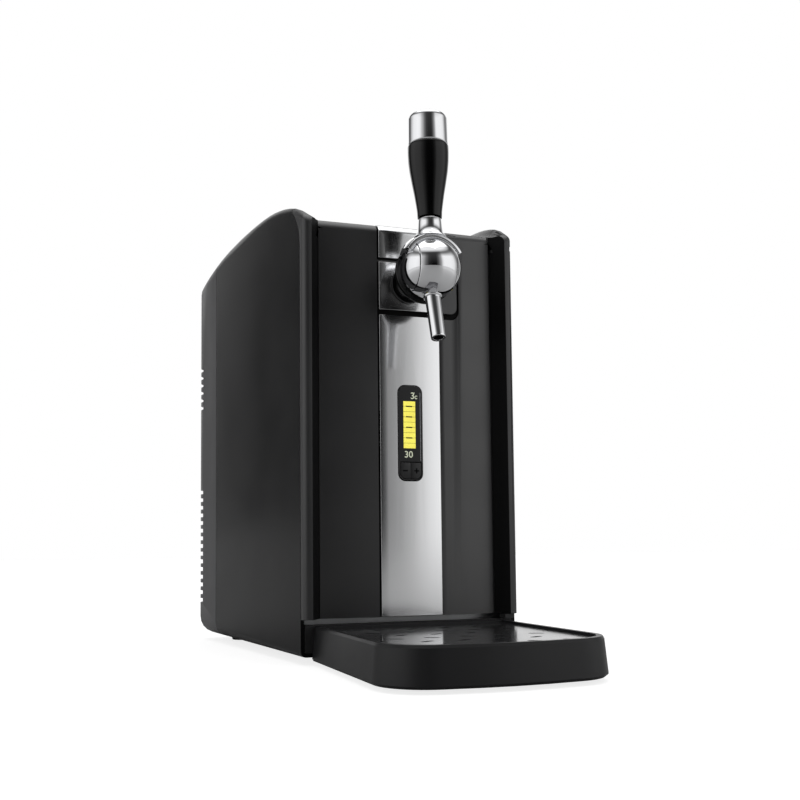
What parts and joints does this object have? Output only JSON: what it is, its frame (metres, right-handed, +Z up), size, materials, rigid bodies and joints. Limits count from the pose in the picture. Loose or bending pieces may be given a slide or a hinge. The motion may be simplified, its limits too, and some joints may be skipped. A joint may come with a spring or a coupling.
{
  "type": "mini keg beer dispenser",
  "caption": "Free-standing cooled dispenser for a small keg: hinged front door with a tap and lever, display with buttons, and a pull-out drip tray.",
  "frame": {"origin": "centre of the overall box, at the floor", "axes": "+Z up, the door and the tap face -Y, +X to the right seen from the front"},
  "size_m": [0.26, 0.494, 0.435],
  "materials": {
    "casing": "satin black",
    "cheek": "satin black",
    "panel": "satin dark grey",
    "mirror": "polished mirror sheet",
    "chrome": "bright chrome",
    "gloss": "glossy black",
    "tray": "satin dark grey",
    "plate": "glossy dark metallic",
    "rubber": "matte",
    "foam": null,
    "liner": "plain sheet",
    "inner_liner": "plain light grey",
    "plastic": "plain",
    "aluminium": "extruded",
    "board": "circuit board",
    "steel": "plated",
    "unit": "closed unit with parts inside",
    "ceramic": "white"
  },
  "bodies": {
    "cabinet": {"left_side_shell": "casing", "right_side_shell": "casing", "roof_cover": "casing", "rear_cover": "casing", "rear_screw_1": "steel", "rear_screw_2": "steel", "rear_screw_3": "steel", "rear_screw_4": "steel", "base_pan": "plastic", "foot_front_left": "rubber", "foot_front_right": "rubber", "foot_rear_left": "rubber", "foot_rear_right": "rubber", "chamber_liner": "liner", "foam_insulation": "foam", "keg_seat": "rubber", "cold_plate": "aluminium", "peltier_module": "ceramic", "heat_sink": "aluminium", "fan_frame": "gloss", "power_supply": "unit", "mains_inlet": "gloss", "electrics_shelf": "plastic", "control_board": "board", "air_pump": "unit", "hinge_lower": "steel", "hinge_upper": "steel"},
    "door": {"front_panel": "panel", "bright_strip": "mirror", "tap_bay_plate": "mirror", "strip_cap": "mirror", "door_frame": "cheek", "door_foam": "foam", "door_liner": "inner_liner", "door_seal": "rubber", "display_window": "gloss", "display_board": "board", "tap_shank": "gloss", "tap_nut": "steel", "tap_ball": "chrome", "spout": "chrome"},
    "tap_lever": {"tap_yoke": "chrome", "tap_grip": "gloss", "tap_cap": "chrome", "tap_pin": "steel"},
    "valve": {"valve_stem": "steel"},
    "minus_key": {"minus_button": "gloss"},
    "plus_key": {"plus_button": "gloss"},
    "fan": {"fan_rotor": "gloss"},
    "tray": {"drip_tray": "tray"},
    "tray_cover": {"tray_plate": "plate"}
  },
  "joints": [
    {"name": "door_hinge", "type": "hinge", "parent": "cabinet", "child": "door", "pos_m": [0.0875, -0.057, 0.19], "axis": [0, 0, 1], "range_deg": [0, 95]},
    {"name": "tap_lever_tilt", "type": "hinge", "parent": "door", "child": "tap_lever", "pos_m": [0, -0.105, 0.3095], "axis": [1, 0, 0], "range_deg": [0, 45]},
    {"name": "valve_slide", "type": "slide", "parent": "door", "child": "valve", "axis": [0, 1, 0], "range_m": [0, 0.005]},
    {"name": "minus_press", "type": "slide", "parent": "door", "child": "minus_key", "axis": [0, 1, 0], "range_m": [0, 0.001], "stiffness_N_per_m": 300, "springref_m": -0.001},
    {"name": "plus_press", "type": "slide", "parent": "door", "child": "plus_key", "axis": [0, 1, 0], "range_m": [0, 0.001], "stiffness_N_per_m": 300, "springref_m": -0.001},
    {"name": "fan_spin", "type": "hinge", "parent": "cabinet", "child": "fan", "pos_m": [0, 0.198, 0.2], "axis": [0, 1, 0], "continuous": true},
    {"name": "tray_pull", "type": "slide", "parent": "cabinet", "child": "tray", "axis": [0, -1, 0], "range_m": [0, 0.12]},
    {"name": "plate_lift", "type": "slide", "parent": "tray", "child": "tray_cover", "axis": [0, 0, 1], "range_m": [0, 0.04]}
  ],
  "couplings": [
    {"joint": "valve_slide", "follows": "tap_lever_tilt", "m_per_rad": 0.006366}
  ]
}
